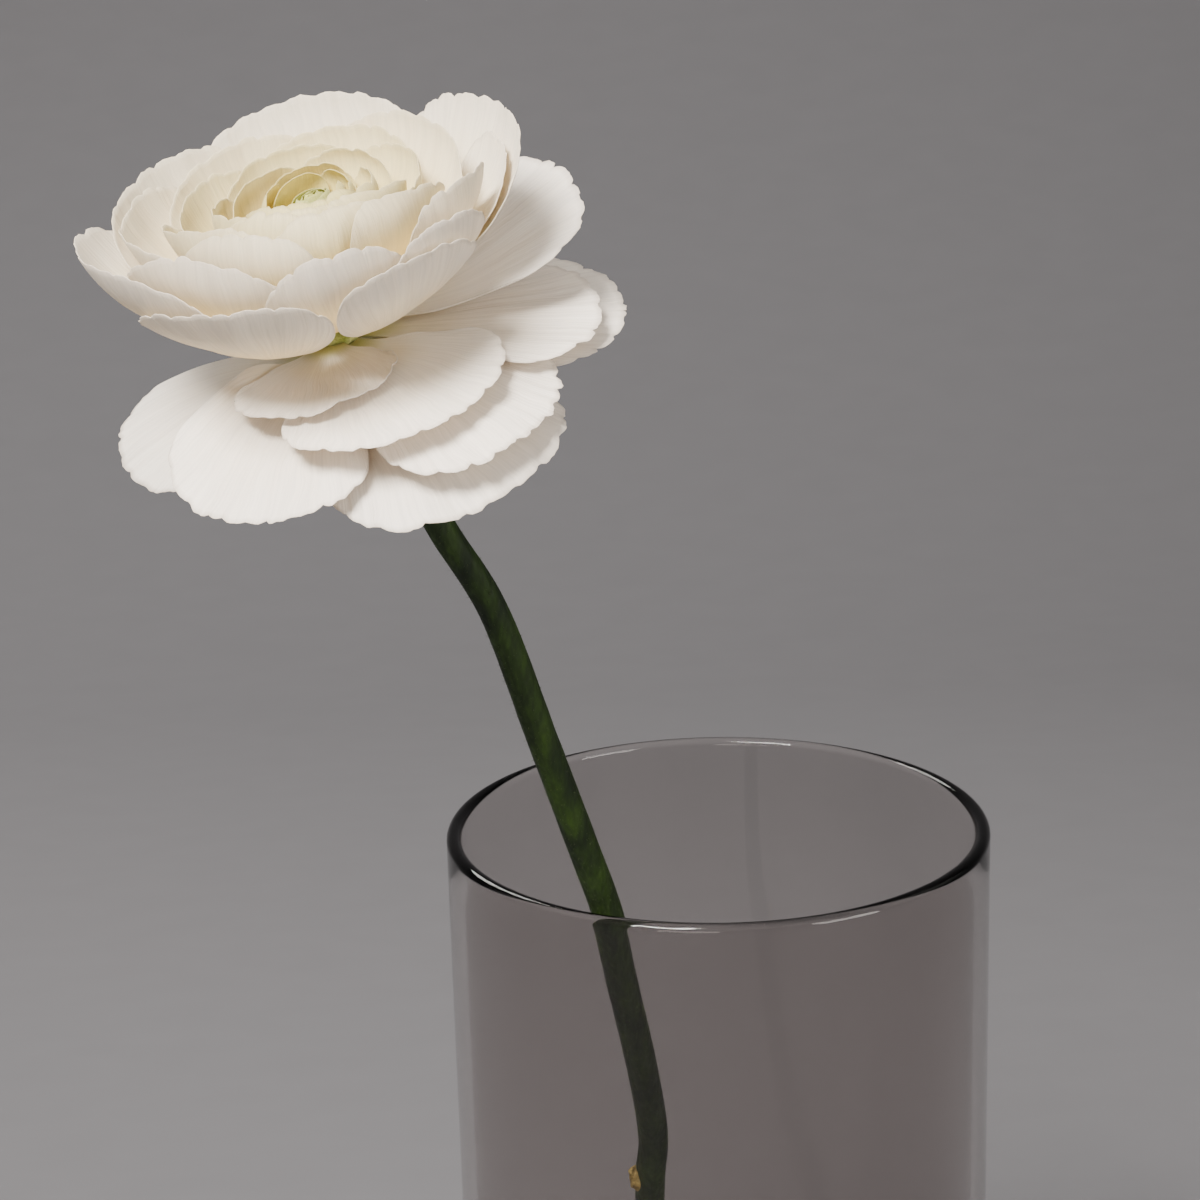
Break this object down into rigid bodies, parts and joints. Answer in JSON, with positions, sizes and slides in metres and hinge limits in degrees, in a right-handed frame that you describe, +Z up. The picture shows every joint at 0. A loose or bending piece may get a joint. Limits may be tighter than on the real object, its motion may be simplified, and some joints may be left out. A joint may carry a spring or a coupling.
{
  "type": "ranunculus flower in a vase",
  "caption": "Single many-petalled ranunculus flower with an opened lower skirt of petals, on a bent green stem leaning over the rim of a clear cylindrical glass vase.",
  "frame": {"origin": "centre of the vase's flat underside, on the surface it stands on", "axes": "+Z up along the vase's axis; the flower leans out over the rim towards -X and -Y; +X is to the right of someone looking along +Y"},
  "size_m": [0.1476, 0.156, 0.3399],
  "materials": {
    "vase_glass": "clear glass, fire-polished rim",
    "stem_green": "matt dark green plant stem, faintly mottled",
    "receptacle_green": "matt yellow-green plant tissue",
    "heart_green": "soft yellow-green folded petals",
    "sepal_green": "soft matt green",
    "bowl_petal": "satin cream petal with fine veins",
    "skirt_petal": "satin warm-white petal with fine veins"
  },
  "bodies": {
    "root": {"bowl_petal_01": "bowl_petal", "bowl_petal_02": "bowl_petal", "bowl_petal_03": "bowl_petal", "bowl_petal_04": "bowl_petal", "bowl_petal_05": "bowl_petal", "bowl_petal_06": "bowl_petal", "bowl_petal_07": "bowl_petal", "bowl_petal_08": "bowl_petal", "bowl_petal_09": "bowl_petal", "bowl_petal_10": "bowl_petal", "bowl_petal_11": "bowl_petal", "bowl_petal_12": "bowl_petal", "bowl_petal_13": "bowl_petal", "bowl_petal_14": "bowl_petal", "bowl_petal_15": "bowl_petal", "bowl_petal_16": "bowl_petal", "bowl_petal_17": "bowl_petal", "bowl_petal_18": "bowl_petal", "bowl_petal_19": "bowl_petal", "bowl_petal_20": "bowl_petal", "bowl_petal_21": "bowl_petal", "bowl_petal_22": "bowl_petal", "bowl_petal_23": "bowl_petal", "bowl_petal_24": "bowl_petal", "bowl_petal_25": "bowl_petal", "bowl_petal_26": "bowl_petal", "bowl_petal_27": "bowl_petal", "bowl_petal_28": "bowl_petal", "bowl_petal_29": "bowl_petal", "bowl_petal_30": "bowl_petal", "bowl_petal_31": "bowl_petal", "bowl_petal_32": "bowl_petal", "bowl_petal_33": "bowl_petal", "bowl_petal_34": "bowl_petal", "bowl_petal_35": "bowl_petal", "bowl_petal_36": "bowl_petal", "bowl_petal_37": "bowl_petal", "heart": "heart_green", "receptacle": "receptacle_green", "sepal_1": "sepal_green", "sepal_2": "sepal_green", "sepal_3": "sepal_green", "sepal_4": "sepal_green", "sepal_5": "sepal_green", "skirt_petal_01": "skirt_petal", "skirt_petal_02": "skirt_petal", "skirt_petal_03": "skirt_petal", "skirt_petal_04": "skirt_petal", "skirt_petal_05": "skirt_petal", "skirt_petal_06": "skirt_petal", "skirt_petal_07": "skirt_petal", "skirt_petal_08": "skirt_petal", "skirt_petal_09": "skirt_petal", "stem": "stem_green", "vase": "vase_glass"}
  },
  "joints": []
}
